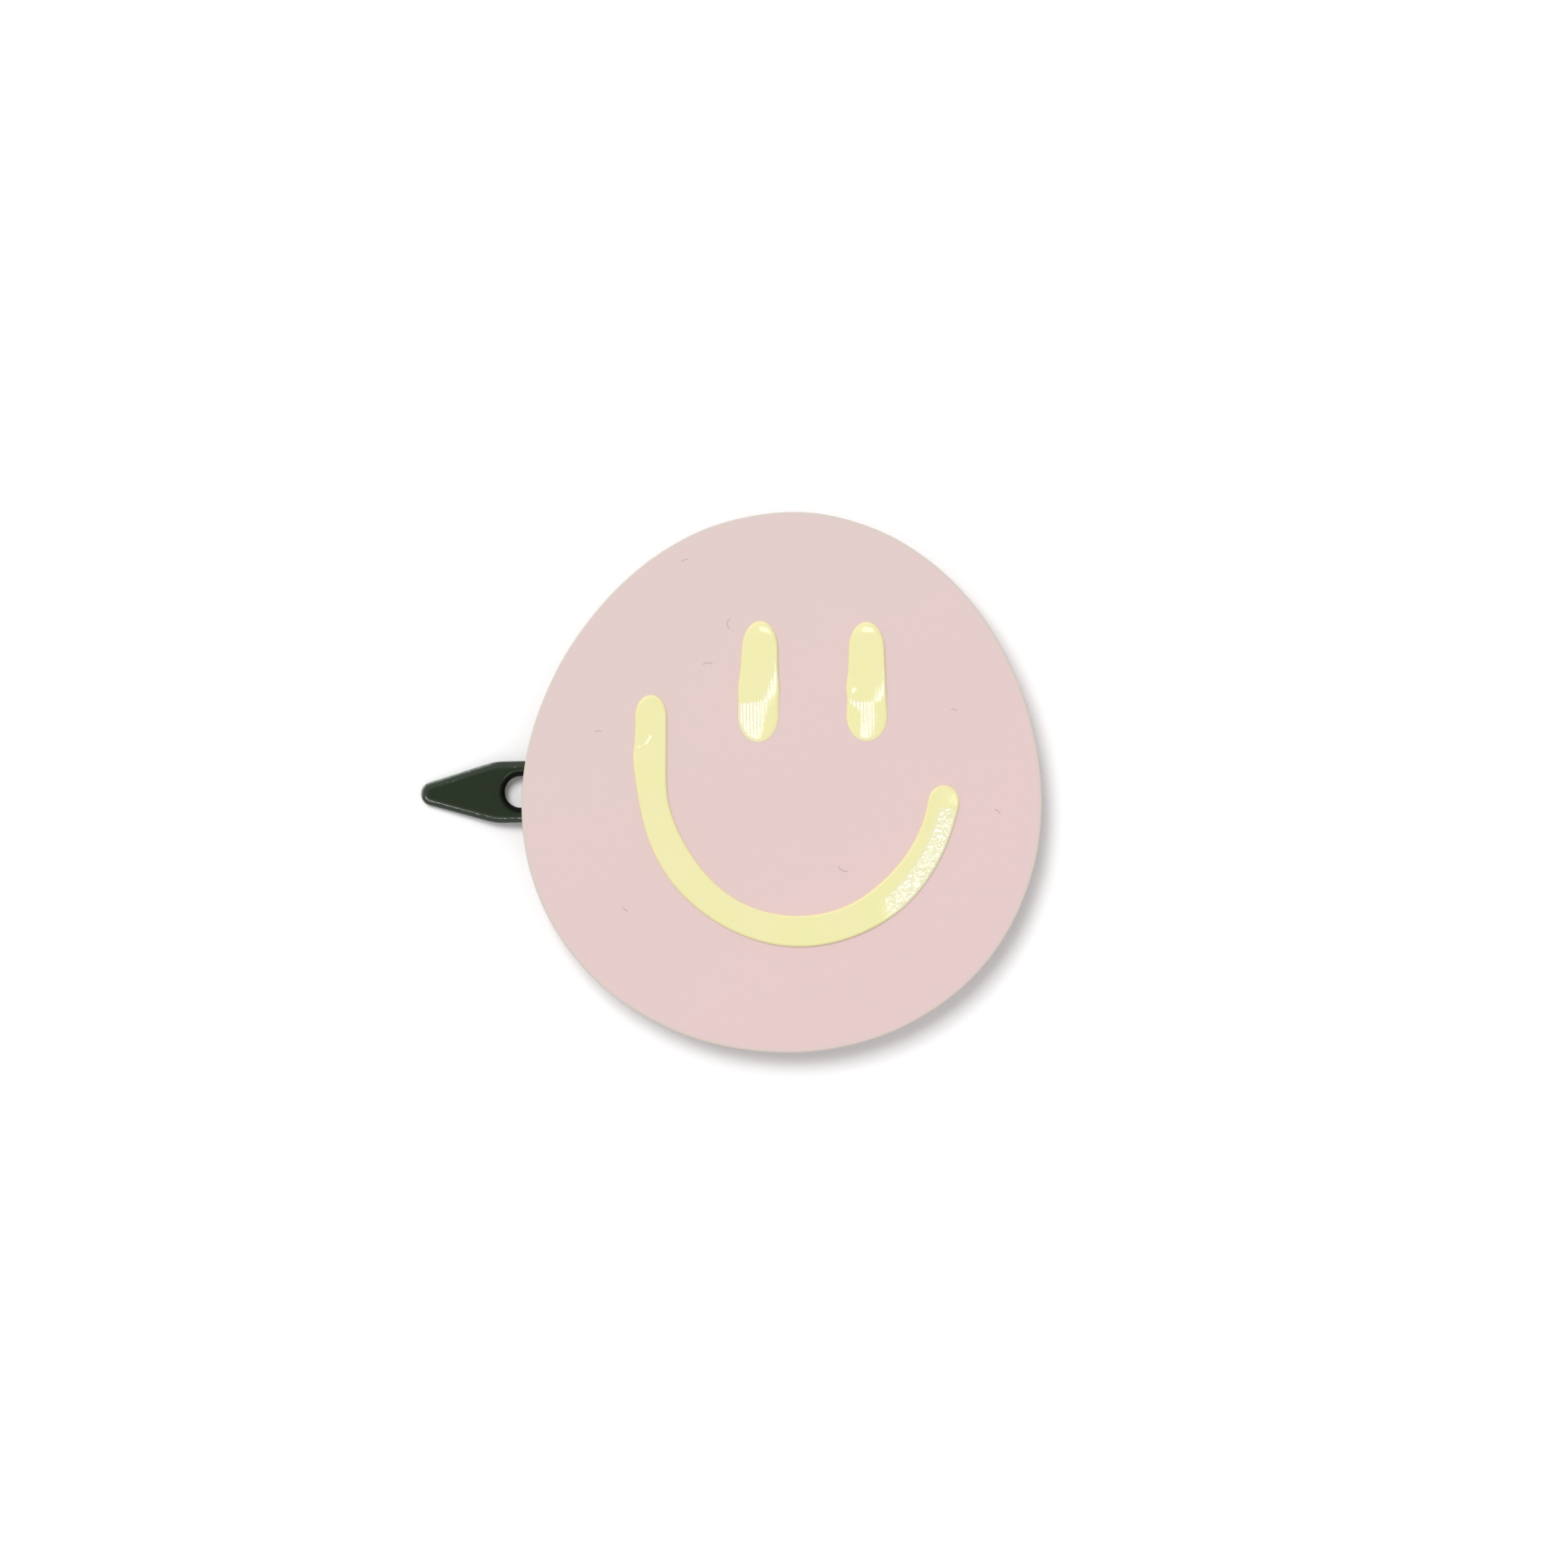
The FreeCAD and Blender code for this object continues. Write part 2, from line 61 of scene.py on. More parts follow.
# The disc's outline: a circle, slightly oval and slightly three-sided.
DISC_RADIUS = 25.47
OVAL_SWING = 0.544
OVAL_PHASE = math.radians(161.7)
LOBE_SWING = 0.522
LOBE_PHASE = math.radians(-109.2)
FACE_TURN = math.radians(-1.3)
RIM_WIDE = 0.15
RIM_DEEP = 0.2
BACK_RIM = 0.4
RIM_BELLY = 0.03
RIM_WANDER = 0.05
# How far in from the outline the painted shade at the rim reaches.
RIM_SHADE_REACH = 0.5

# Ups and downs of the hand-rolled top: height, wavelength and seed.
CLAY_WAVES = [(0.03, 11, 0.0), (0.008, 3.1, 7.3), (0.003, 1.1, 3.9)]

# Thin fibres pressed into the disc's top: centre in the row frame, radius, and bearings in degrees.
HAIR_MARKS = [((0.6, 15.7), 0.5, 100, 250), ((-1.8, 11.1), 0.9, 60, 130), ((-12.5, 5.0), 0.7, 60, 120),
              ((-9.9, -11.0), 0.7, 200, 260), ((11.0, -7.6), 0.75, 190, 290), ((25.2, -3.5), 0.8, 20, 80),
              ((21.6, 6.4), 0.6, 40, 110), ((-3.6, 21.2), 0.8, 80, 140)]

# The clip's sheet. Its outlines are stations: position along the clip, half width and corner radius.
SHEET_THICK = 0.9
CROWN_RISE = 2.0
ARCH_START_X = -32.0
HEEL_FLAT_X = 10.0
CLIP_OUTLINE = [(-29.96, 0.88, 1.15), (-22.76, 3.0, 6.0), (-15.0, 3.0, 20.0), (12.5, 6.6, 0.0),
                (20.0, 6.6, 6.0)]
OPENING_OUTLINE = [(-21.76, 1.5, 1.49), (-15.0, 1.5, 0.0), (8.5, 4.15, 0.6)]
CORNER_STEPS = 12
NOSE_END_X = -20.2
OUTER_ARM_END_X = 8.0
OPENING_ARM_END_X = 7.8
OUTER_EDGE = (0.78, 0.5)
OPENING_EDGE = (0.62, 0.55)
UNDER_EDGE = 0.12
SHEET_RIPPLE = 0.012
# Towards the heel, the painted highlight on the outer edge ends here.
PAINTED_HIGHLIGHT_END_X = -22.4

# The tongue's stations: position along the clip and half width.
TONGUE_TIP = (-16.6, 1.0)
TONGUE_NECK = (-15.0, 1.0)
TONGUE_ROOT = (9.7, 3.74)
ROOT_TUCK = 0.04

# Glue beads. The first number is how far they reach into the disc and the heel.
GLUE_SUNK = 0.04
BEAD_WANDER = 0.22
ARM_SLANT = math.radians(6.66)
ARM_BEAD_REACH = 4.4
ARM_BEAD_HALF = 1.15
HEEL_BEAD_REACH = 0.5
HEEL_BEAD_HALF = 2.9

# Paint strokes. The smile is an upright and most of half an ellipse.
PAINT_HIGH = 0.4
PAINT_EDGE = 0.25
PAINT_SUNK = 0.08
PAINT_RIPPLE = 0.004
PAINT_THINNEST = 0.1
SMILE_CENTRE = (1.45, 1.6)
SMILE_ACROSS = 14.2
SMILE_DOWN = 15.4
SMILE_UPRIGHT = 5.3
SMILE_END = math.radians(349)
SMILE_HALF = 1.52

# The camera: what it sees across at the place that it aims at, that place on the face, and its lens.
VIEW_WIDTH = 151.04
VIEW_MIDDLE = (0.03, 0.36, -1.1)
LENS = 120
SENSOR = 36

# The lamps: distances in metres, and the strength of the white surroundings.
KEY_DISTANCE = 1.5
GLINT_DISTANCE = 0.8
SURROUNDINGS = 0.655


# ---------------------------------------------------------------- meshes

def skin(name, rings, matrix, looped=False, start=None, end=None):
    """A smooth mesh over rings of equally many points, moved by a matrix.

    start and end close the first and the last ring on points inside it: each holds those points and, for
    every point of the ring, the number of the inside point that it closes on.
    """
    count = len(rings[0])
    points = [point for ring in rings for point in ring]
    faces = []
    pairs = list(zip(range(len(rings)), range(1, len(rings))))
    if looped:
        pairs.append((len(rings) - 1, 0))
    for low, high in pairs:
        for here in range(count):
            after = (here + 1) % count
            near, far = low * count, high * count
            faces.append([near + here, near + after, far + after, far + here])
    for ring, closing in ((0, start), (len(rings) - 1, end)):
        if closing is None:
            continue
        inside, owners = closing
        first, edge = len(points), ring * count
        points += inside
        for here in range(count):
            after = (here + 1) % count
            corners = [edge + here, edge + after, first + owners[after], first + owners[here]]
            faces.append(list(dict.fromkeys(corners)))
    mesh = bpy.data.meshes.new(name)
    mesh.from_pydata([matrix @ point for point in points], [], faces)
    shape = bmesh.new()
    shape.from_mesh(mesh)
    bmesh.ops.recalc_face_normals(shape, faces=shape.faces)
    shape.to_mesh(mesh)
    shape.free()
    mesh.shade_smooth()
    piece = bpy.data.objects.new(name, mesh)
    bpy.context.scene.collection.objects.link(piece)
    return piece


def mark(piece, name, values):
    """Store one number per point of a piece, for its material to read."""
    attribute = piece.data.attributes.new(name, "FLOAT", "POINT")
    attribute.data.foreach_set("value", values)


def smooth_step(value, low, high):
    share = min(max((value - low) / (high - low), 0), 1)
    return share * share * (3 - 2 * share)


def hill(value, centre, reach):
    return math.exp(-((value - centre) / reach) ** 2)


def uneven(point, wavelength, seed=0.0):
    """Smooth noise from about -1 to 1 with a given wavelength."""
    return noise.noise(point / wavelength + Vector((seed, seed, seed)))


# ---------------------------------------------------------------- the face

def disc_radius(angle):
    oval = OVAL_SWING * math.cos(2 * angle - OVAL_PHASE)
    lobes = LOBE_SWING * math.cos(3 * angle - LOBE_PHASE)
    return DISC_RADIUS + oval + lobes


def face_axes():
    """The matrix from the face's axes, in millimetres, to the row frame."""
    turn = Matrix.Rotation(FACE_TURN, 4, "Z")
    outline = []
    for degree in range(360):
        angle = math.radians(degree)
        radius = disc_radius(angle)
        outline.append(turn @ Vector((radius * math.cos(angle), radius * math.sin(angle), 0)))
    low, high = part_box("face_disc")
    centre_x = (low.x + high.x) / 2 - MM * (min(p.x for p in outline) + max(p.x for p in outline)) / 2
    centre_y = (low.y + high.y) / 2 - MM * (min(p.y for p in outline) + max(p.y for p in outline)) / 2
    return Matrix.Translation((centre_x, centre_y, high.z)) @ turn @ TO_METRES


FACE = face_axes()
FACE_INVERSE = FACE.inverted()


def clay_height(x, y):
    """The hand-rolled top's small ups and downs."""
    place = Vector((x, y, 0))
    return sum(height * uneven(place, wavelength, seed) for height, wavelength, seed in CLAY_WAVES)


def disc_profile(thick):
    """Inset, share of the radius and height of each ring, from the top's middle to the back's middle."""
    profile = []
    top_rings = 56
    for ring in range(1, top_rings):
        profile.append((RIM_WIDE, ring / top_rings, 0.0))
    for inset in (0.35, 0.25, 0.15, 0.07, 0.0):
        profile.append((RIM_WIDE + inset, 1.0, 0.0))
    for step in range(1, 7):
        turn = math.pi / 2 * step / 6
        profile.append((RIM_WIDE * (1 - math.sin(turn)), 1.0, -RIM_DEEP * (1 - math.cos(turn))))
    profile.append((-RIM_BELLY, 1.0, -(RIM_DEEP + thick - BACK_RIM) / 2))
    for step in range(0, 7):
        turn = math.pi / 2 * step / 6
        profile.append((BACK_RIM * (1 - math.cos(turn)), 1.0, BACK_RIM * (1 - math.sin(turn)) - thick))
    for share in (0.8, 0.6, 0.4, 0.2, 0.05):
        profile.append((BACK_RIM, share, -thick))
    return profile


def make_disc():
    """Pink disc with a soft upper rim, a slightly bellied edge and a flat back."""
    around = 432
    low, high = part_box("face_disc")
    thick = (high.z - low.z) / MM
    rings = []
    for inset, share, height in disc_profile(thick):
        ring = []
        for number in range(around):
            angle = 2 * math.pi * number / around
            wander = RIM_WANDER * uneven(Vector((math.cos(angle), math.sin(angle), 0)), 0.22, 2.0)
            radius = (disc_radius(angle) + wander - inset) * share
            x, y = radius * math.cos(angle), radius * math.sin(angle)
            lift = clay_height(x, y) if height > -RIM_DEEP else 0
            ring.append(Vector((x, y, height + lift)))
        rings.append(ring)
    top_centre = [Vector((0, 0, clay_height(0, 0)))]
    back_centre = [Vector((0, 0, -thick))]
    owners = [0] * around
    disc = skin("pink_disc", rings, FACE, start=(top_centre, owners), end=(back_centre, owners))
    # Painted shade: the top's last half millimetre is marked to be darker and beiger towards the outline,
    # for the shade on the rounded rim.
    rim = []
    for vertex in disc.data.vertices:
        place = FACE_INVERSE @ vertex.co
        from_outline = disc_radius(math.atan2(place.y, place.x)) - math.hypot(place.x, place.y)
        rim.append(1 - smooth_step(from_outline, 0.0, RIM_SHADE_REACH))
    mark(disc, "rim", rim)
    return disc


# ---------------------------------------------------------------- paint strokes

def stroke_outline(spine, half_width, start_reach, end_reach):
    """Points round a stroke and, for each, its spine point, its share along and its side.

    half_width gives the stroke's half width at a share along it, on the left (1) or the right (-1). The
    two ends are half ellipses that reach past the spine's ends.
    """
    last = len(spine) - 1
    tangents = []
    for number in range(last + 1):
        before, after = spine[max(number - 1, 0)], spine[min(number + 1, last)]
        tangents.append((after - before).normalized())
    outline = []
    for number in range(last + 1):
        tangent = tangents[number]
        left = Vector((-tangent.y, tangent.x, 0))
        outline.append((spine[number] + left * half_width(number / last, 1), number, 1))
    outline += stroke_end(spine[last], tangents[last], half_width, 1, end_reach, last)
    for number in range(last, -1, -1):
        tangent = tangents[number]
        left = Vector((-tangent.y, tangent.x, 0))
        outline.append((spine[number] - left * half_width(number / last, -1), number, -1))
    outline += stroke_end(spine[0], -tangents[0], half_width, 0, start_reach, 0)
    return outline


def stroke_end(centre, forward, half_width, share, reach, owner):
    """Points round one end of a stroke, from one side to the other."""
    steps = 26
    side = 1 if share else -1
    left = Vector((-forward.y, forward.x, 0))
    points = []
    for step in range(1, steps):
        turn = math.pi * step / steps
        here = side if turn < math.pi / 2 else -side
        across = half_width(share, here) * math.cos(turn)
        place = centre + left * across + forward * reach * math.sin(turn)
        points.append((place, owner, here * abs(math.cos(turn))))
    return points


def make_stroke(name, spine, half_width, reaches, height):
    """Thick paint: a steep rounded edge and a top whose height is a function of place, share and side."""
    outline = stroke_outline(spine, half_width, *reaches)
    last = len(spine) - 1
    insets = [0.0, 0.015, 0.04, 0.08, 0.13, 0.19, 0.26, 0.33, 0.4, 0.5, 0.62, 0.75, 0.9, 1.05, 1.2, 1.35]
    half = half_width(0.5, 1)
    top = []
    for inset in insets:
        rise = math.sqrt(1 - (1 - min(inset / PAINT_EDGE, 1)) ** 2)
        ring = []
        for point, owner, side in outline:
            place = point.lerp(spine[owner], inset / half)
            across = side * (half - inset)
            top_here = height(place, owner / last, across)
            ring.append(Vector((place.x, place.y, clay_height(place.x, place.y) + rise * top_here)))
        top.append(ring)
    foot = [Vector((point.x, point.y, -PAINT_SUNK)) for point, owner, side in outline]
    owners = [owner for point, owner, side in outline]
    ridge = [Vector((point.x, point.y, clay_height(point.x, point.y) + height(point, number / last, 0.0)))
             for number, point in enumerate(spine)]
    keel = [Vector((point.x, point.y, -PAINT_SUNK)) for point in spine]
    piece = skin(name, [foot] + top, FACE, start=(keel, owners), end=(ridge, owners))
    ring_insets = [inset for inset in [0.0] + insets for _ in outline]
    mark(piece, "inset", ring_insets + [0.0] * len(keel) + [half] * len(ridge))
    return piece


def line_of(start, end, spacing):
    steps = max(int((end - start).length / spacing), 1)
    return [start.lerp(end, step / steps) for step in range(steps + 1)]


def softly_lowest(first, second, softness):
    """The lower of two heights, with a rounded crease where they meet."""
    blend = max(softness - abs(first - second), 0) / softness
    return min(first, second) - blend * blend * softness / 4


def crease_depth(place, creases):
    """How much lower the paint's skin is because of folds: segments with a width and a depth."""
    total = 0.0
    for x0, y0, x1, y1, width, depth in creases:
        start, end = Vector((x0, y0)), Vector((x1, y1))
        spot = Vector((place.x, place.y))
        along = min(max((spot - start).dot(end - start) / (end - start).length_squared, 0), 1)
        total += depth * hill((spot - start.lerp(end, along)).length, 0, width)
    return total


def make_eye(name, low, high, halves, reaches, bulges, facets, creases, glossy):
    """An upright stroke from low to high, with its half widths there and the reaches of its round ends.

    Each bulge is a height, a side (0 means both), an amount and a reach. The two facets are planes that
    cut the top off: a point at full height, the fall along x and y, and the softness of the crease. The
    skin dried in fine ridges on the first facet and where the second starts. glossy tells how well a place
    shines.
    """
    spine = line_of(Vector((*low, 0)), Vector((*high, 0)), 0.13)
    length = high[1] - low[1]

    def half_width(share, side):
        width = halves[0] + (halves[1] - halves[0]) * share
        for level, bulge_side, amount, reach in bulges:
            if bulge_side in (0, side):
                width += amount * hill(low[1] + share * length, level, reach)
        return width

    def planes(place):
        return [PAINT_HIGH - slope_x * (place.x - x) - slope_y * (place.y - y)
                for x, y, slope_x, slope_y, _ in facets]

    def height(place, along, across):
        top = PAINT_HIGH
        for plane, facet in zip(planes(place), facets):
            top = softly_lowest(top, plane, facet[-1])
        from_end = math.hypot(place.x - high[0], place.y - high[1])
        if place.y > high[1]:
            top -= 0.045 * max(from_end - 1.0, 0) ** 2
        top -= 0.005 * max(6.6 - place.y, 0) ** 2
        top -= crease_depth(place, creases)
        top += PAINT_RIPPLE * uneven(place, 1.7, 5.1)
        return max(top, PAINT_THINNEST)

    eye = make_stroke(name, spine, half_width, reaches, height)
    combed, shine = [], []
    for vertex in eye.data.vertices:
        place = FACE_INVERSE @ vertex.co
        first, second = planes(place)
        on_first = smooth_step(min(PAINT_HIGH, second) - first, 0.0, 0.012)
        ridged = on_first * (0.45 + 0.55 * smooth_step(place.y, 5.2, 6.4))
        by_crease = 1 - smooth_step(abs(PAINT_HIGH - second), 0.02, 0.07)
        streak = 0.6 * by_crease * (1 - smooth_step(place.y, 11.0, 12.0))
        combed.append(max(ridged, streak))
        shine.append(glossy(place.x, place.y))
    mark(eye, "combed", combed)
    mark(eye, "shine", shine)
    return eye


def left_gloss(x, y):
    """The left eye shines all over but at the lower right."""
    lower_left = 1 - smooth_step(x - 0.233 * (y - 6.4), -2.0, -1.75)
    return max(lower_left, smooth_step(y, 7.7, 8.1))


def right_gloss(x, y):
    """The right eye shines above and on a tongue in the middle of its lower half."""
    left_side = 7.35 - 0.95 * smooth_step(y, 7.2, 8.3)
    middle = smooth_step(x, left_side - 0.1, left_side + 0.15) * (1 - smooth_step(x, 8.55, 8.85))
    branch = hill(y - 0.2 * (x - 9), 7.0, 0.16) * smooth_step(x, 8.5, 8.7) * (1 - smooth_step(x, 9.3, 9.6))
    return max(middle, smooth_step(y, 8.1, 8.5), branch)


def make_left_eye():
    facets = [(-3.2, 8.3, 0.005, -0.066, 0.012), (-1.1, 9.9, 0.13, -0.055, 0.13)]
    creases = [(-4.3, 8.9, -3.6, 8.2, 0.12, 0.01)]
    bulges = [(9.6, 0, 0.12, 1.3)]
    return make_eye("left_eye_stroke", (-2.45, 7.0), (-2.3, 13.2), (1.97, 1.76), (2.64, 2.84),
                    bulges, facets, creases, left_gloss)


def make_right_eye():
    facets = [(7.3, 8.4, -0.012, -0.066, 0.012), (9.5, 9.3, 0.12, -0.065, 0.15)]
    creases = [(6.5, 11.1, 6.55, 10.9, 0.35, 0.028), (6.95, 9.15, 7.0, 8.9, 0.4, 0.034)]
    bulges = [(9.7, 1, 0.14, 0.9)]
    return make_eye("right_eye_stroke", (8.0, 6.9), (7.97, 13.3), (1.97, 1.74), (2.46, 2.66),
                    bulges, facets, creases, right_gloss)


def smile_spine():
    """The middle of the smile's stroke: an upright at the left, then most of half an ellipse."""
    centre = Vector((*SMILE_CENTRE, 0))
    corner = centre + Vector((-SMILE_ACROSS, 0, 0))
    spine = line_of(corner + Vector((0, SMILE_UPRIGHT, 0)), corner, 0.15)
    steps = 300
    for step in range(1, steps + 1):
        turn = math.pi + (SMILE_END - math.pi) * step / steps
        spine.append(centre + Vector((SMILE_ACROSS * math.cos(turn), SMILE_DOWN * math.sin(turn), 0)))
    return spine


def make_smile():
    """The smile's stroke, with two folds in its left end and a crinkled patch on its right outer half."""
    wobbles = [(0.08, -1, 0.2, 0.035), (0.17, 0, -0.1, 0.05), (0.3, 0, 0.06, 0.05), (0.45, 0, -0.08, 0.08),
               (0.8, 0, 0.12, 0.07), (0.95, 0, -0.04, 0.04)]
    creases = [(-14.3, 3.3, -13.7, 3.7, 0.4, 0.058), (-13.0, 4.0, -12.6, 4.7, 0.4, 0.062),
               (-11.6, 6.3, -11.2, 7.2, 0.2, 0.02)]

    def half_width(share, side):
        width = SMILE_HALF
        for place, wobble_side, amount, reach in wobbles:
            if wobble_side in (0, side):
                width += amount * hill(share, place, reach)
        return width

    def height(place, along, across):
        top = PAINT_HIGH - 0.012 * smooth_step(abs(across), 0.2, 1.4)
        top -= 0.06 * smooth_step(along, 0.72, 0.78) * max(0.3 - across, 0)
        top -= crease_depth(place, creases)
        top += PAINT_RIPPLE * uneven(place, 2.3, 9.1)
        return top

    smile = make_stroke("smile_stroke", smile_spine(), half_width, (2.05, 1.6), height)
    mark_smile(smile)
    return smile


def mark_smile(smile):
    """Tell the smile's material where its skin is crinkled, and that its lowest outer edge is dull."""
    crinkled, shine = [], []
    for vertex in smile.data.vertices:
        place = FACE_INVERSE @ vertex.co
        from_centre = Vector((place.x - SMILE_CENTRE[0], place.y - SMILE_CENTRE[1]))
        outward = SMILE_ACROSS * (math.hypot(from_centre.x / SMILE_ACROSS, from_centre.y / SMILE_DOWN) - 1)
        turn = math.degrees(math.atan2(from_centre.y, from_centre.x))
        patch = smooth_step(turn, -60, -52) * (1 - smooth_step(turn, -17, -12))
        crinkled.append(patch * smooth_step(outward, -0.6, -0.1))
        lowest = smooth_step(turn, -125, -115) * (1 - smooth_step(turn, -62, -57))
        shine.append(1 - lowest * smooth_step(outward, 0.9, 1.15))
    mark(smile, "crinkled", crinkled)
    mark(smile, "shine", shine)


# ---------------------------------------------------------------- the clip

def arch_height(x):
    """Height of the sheet's lower surface: an arch of three arcs, then the level heel."""
    quarter = (HEEL_FLAT_X - ARCH_START_X) / 4
    bend = quarter ** 2 / CROWN_RISE + CROWN_RISE / 4
    inside = min(x - ARCH_START_X, HEEL_FLAT_X - x)
    if inside <= 0:
        return 0.0
    if inside <= quarter:
        return bend - math.sqrt(bend ** 2 - inside ** 2)
    return CROWN_RISE - bend + math.sqrt(bend ** 2 - (2 * quarter - inside) ** 2)


def rounded_half(stations):
    """The upper half of a mirrored outline, with an arc at each corner, from the axis to the axis."""
    first, last = stations[0], stations[-1]
    corners = [(first[0], 0.0, 0.0), *stations, (last[0], 0.0, 0.0)]
    points = [Vector((first[0], 0, 0))]
    for before, here, after in zip(corners, corners[1:], corners[2:]):
        corner = Vector((here[0], here[1], 0))
        radius = here[2]
        if radius == 0:
            points.append(corner)
            continue
        back = (Vector((before[0], before[1], 0)) - corner).normalized()
        forth = (Vector((after[0], after[1], 0)) - corner).normalized()
        half_angle = back.angle(forth) / 2
        centre = corner + (back + forth).normalized() * radius / math.sin(half_angle)
        start = corner + back * radius / math.tan(half_angle) - centre
        end = corner + forth * radius / math.tan(half_angle) - centre
        whole_turn = math.copysign(start.angle(end), start.cross(end).z)
        for step in range(CORNER_STEPS + 1):
            turn = whole_turn * step / CORNER_STEPS
            points.append(centre + Matrix.Rotation(turn, 3, "Z") @ start)
    points.append(Vector((last[0], 0, 0)))
    return points


def spread(points, count):
    """The same line with evenly spaced points."""
    lengths = [0.0]
    for here, after in zip(points, points[1:]):
        lengths.append(lengths[-1] + (after - here).length)
    result = []
    number = 0
    for step in range(count):
        goal = lengths[-1] * step / (count - 1)
        while number < len(points) - 2 and lengths[number + 1] < goal:
            number += 1
        gap = lengths[number + 1] - lengths[number]
        share = (goal - lengths[number]) / gap if gap else 0
        result.append(points[number].lerp(points[number + 1], share))
    return result


def split_at(points, x):
    """Cut a line whose x only grows into the part before and the part after a place."""
    for number, (here, after) in enumerate(zip(points, points[1:])):
        if here.x <= x < after.x:
            cut = here.lerp(after, (x - here.x) / (after.x - here.x))
            return points[:number + 1] + [cut], [cut] + points[number + 1:]
    raise ValueError(f"the line doesn't pass {x}")


def mirrored(half):
    """A closed ring from its upper half."""
    lower = [Vector((point.x, -point.y, 0)) for point in reversed(half[1:-1])]
    return half + lower


def inward(ring):
    """Unit vectors that point to the inside of a closed ring."""
    twice_area = sum(here.x * after.y - after.x * here.y for here, after in zip(ring, ring[1:] + ring[:1]))
    side = 1 if twice_area > 0 else -1
    normals = []
    for number, here in enumerate(ring):
        along = ring[(number + 1) % len(ring)] - ring[number - 1]
        normals.append(Vector((-along.y, along.x, 0)).normalized() * side)
    return normals


def rounded_edge(wide, deep, steps, fullness=2.0):
    """Inset and depth below the top, from the sheet's wall up to its flat.

    A fullness of 2 is a quarter of an ellipse. A larger one falls more slowly at first.
    """
    edge = []
    for step in range(steps + 1):
        turn = math.pi / 2 * step / steps
        run, rise = math.cos(turn) ** (2 / fullness), math.sin(turn) ** (2 / fullness)
        edge.append((wide * (1 - run), deep * (1 - rise)))
    return edge


def frame_outlines():
    """The outside and the opening as rings of equally many points, stretch by stretch side by side."""
    outer, opening = rounded_half(CLIP_OUTLINE), rounded_half(OPENING_OUTLINE)
    outer_nose, rest = split_at(outer, NOSE_END_X)
    outer_arm, outer_heel = split_at(rest, OUTER_ARM_END_X)
    opening_front, rest = split_at(opening, NOSE_END_X)
    opening_arm, opening_rear = split_at(rest, OPENING_ARM_END_X)
    nose, arm = (outer_nose, opening_front, 70), (outer_arm, opening_arm, 150)
    heel = (outer_heel, opening_rear, 60)
    outer_half, opening_half = [], []
    for outer_part, opening_part, count in (nose, arm, heel):
        outer_half = outer_half[:-1] + spread(outer_part, count)
        opening_half = opening_half[:-1] + spread(opening_part, count)
    return mirrored(outer_half), mirrored(opening_half)


def rings_between(first, last, steps):
    """The rings that divide the way from one ring to another into equal steps."""
    pairs = list(zip(first, last))
    return [[here.lerp(there, step / steps) for here, there in pairs] for step in range(1, steps)]


def sheet_point(x, y, depth):
    """A point of the arched sheet, at a depth below its top. The upper half of the sheet is rippled."""
    level = Vector((x, y, SHEET_THICK - depth))
    ripple = SHEET_RIPPLE * uneven(level, 1.9, 4.0) if level.z > 0.5 * SHEET_THICK else 0
    return Vector((x, y, level.z + arch_height(x) + ripple))


def make_frame():
    """Nose, arms and heel: one painted sheet with rounded edges round its outside and its opening."""
    outer, opening = frame_outlines()
    outer_in, opening_out = inward(outer), [-normal for normal in inward(opening)]

    def ring(outline, normals, inset, depth):
        """An outline moved into the sheet, with its depth, for now, in place of z."""
        moved = [point + normal * inset for point, normal in zip(outline, normals)]
        return [Vector((point.x, point.y, depth)) for point in moved]

    opening_edge = rounded_edge(*OPENING_EDGE, 10)
    outer_edge = rounded_edge(*OUTER_EDGE, 16, 3.0)
    rings = [ring(opening, opening_out, UNDER_EDGE, SHEET_THICK)]
    rings.append(ring(opening, opening_out, 0.0, SHEET_THICK - UNDER_EDGE))
    rings += [ring(opening, opening_out, inset, depth) for inset, depth in opening_edge]
    inner_flat = rings[-1]
    outer_rings = [ring(outer, outer_in, inset, depth) for inset, depth in reversed(outer_edge)]
    rings += rings_between(inner_flat, outer_rings[0], 9)
    first_outer = len(rings)
    rings += outer_rings
    rings.append(ring(outer, outer_in, 0.0, SHEET_THICK - UNDER_EDGE))
    rings.append(ring(outer, outer_in, UNDER_EDGE, SHEET_THICK))
    rings += rings_between(rings[-1], rings[0], 5)
    sheet = [[sheet_point(*point) for point in points] for points in rings]
    piece = skin("painted_frame", sheet, TO_METRES, looped=True)
    outside = list(zip(outer, outer_in))
    mark_frame(piece, len(rings), len(opening_edge), first_outer, len(outer_edge), outside)
    return piece


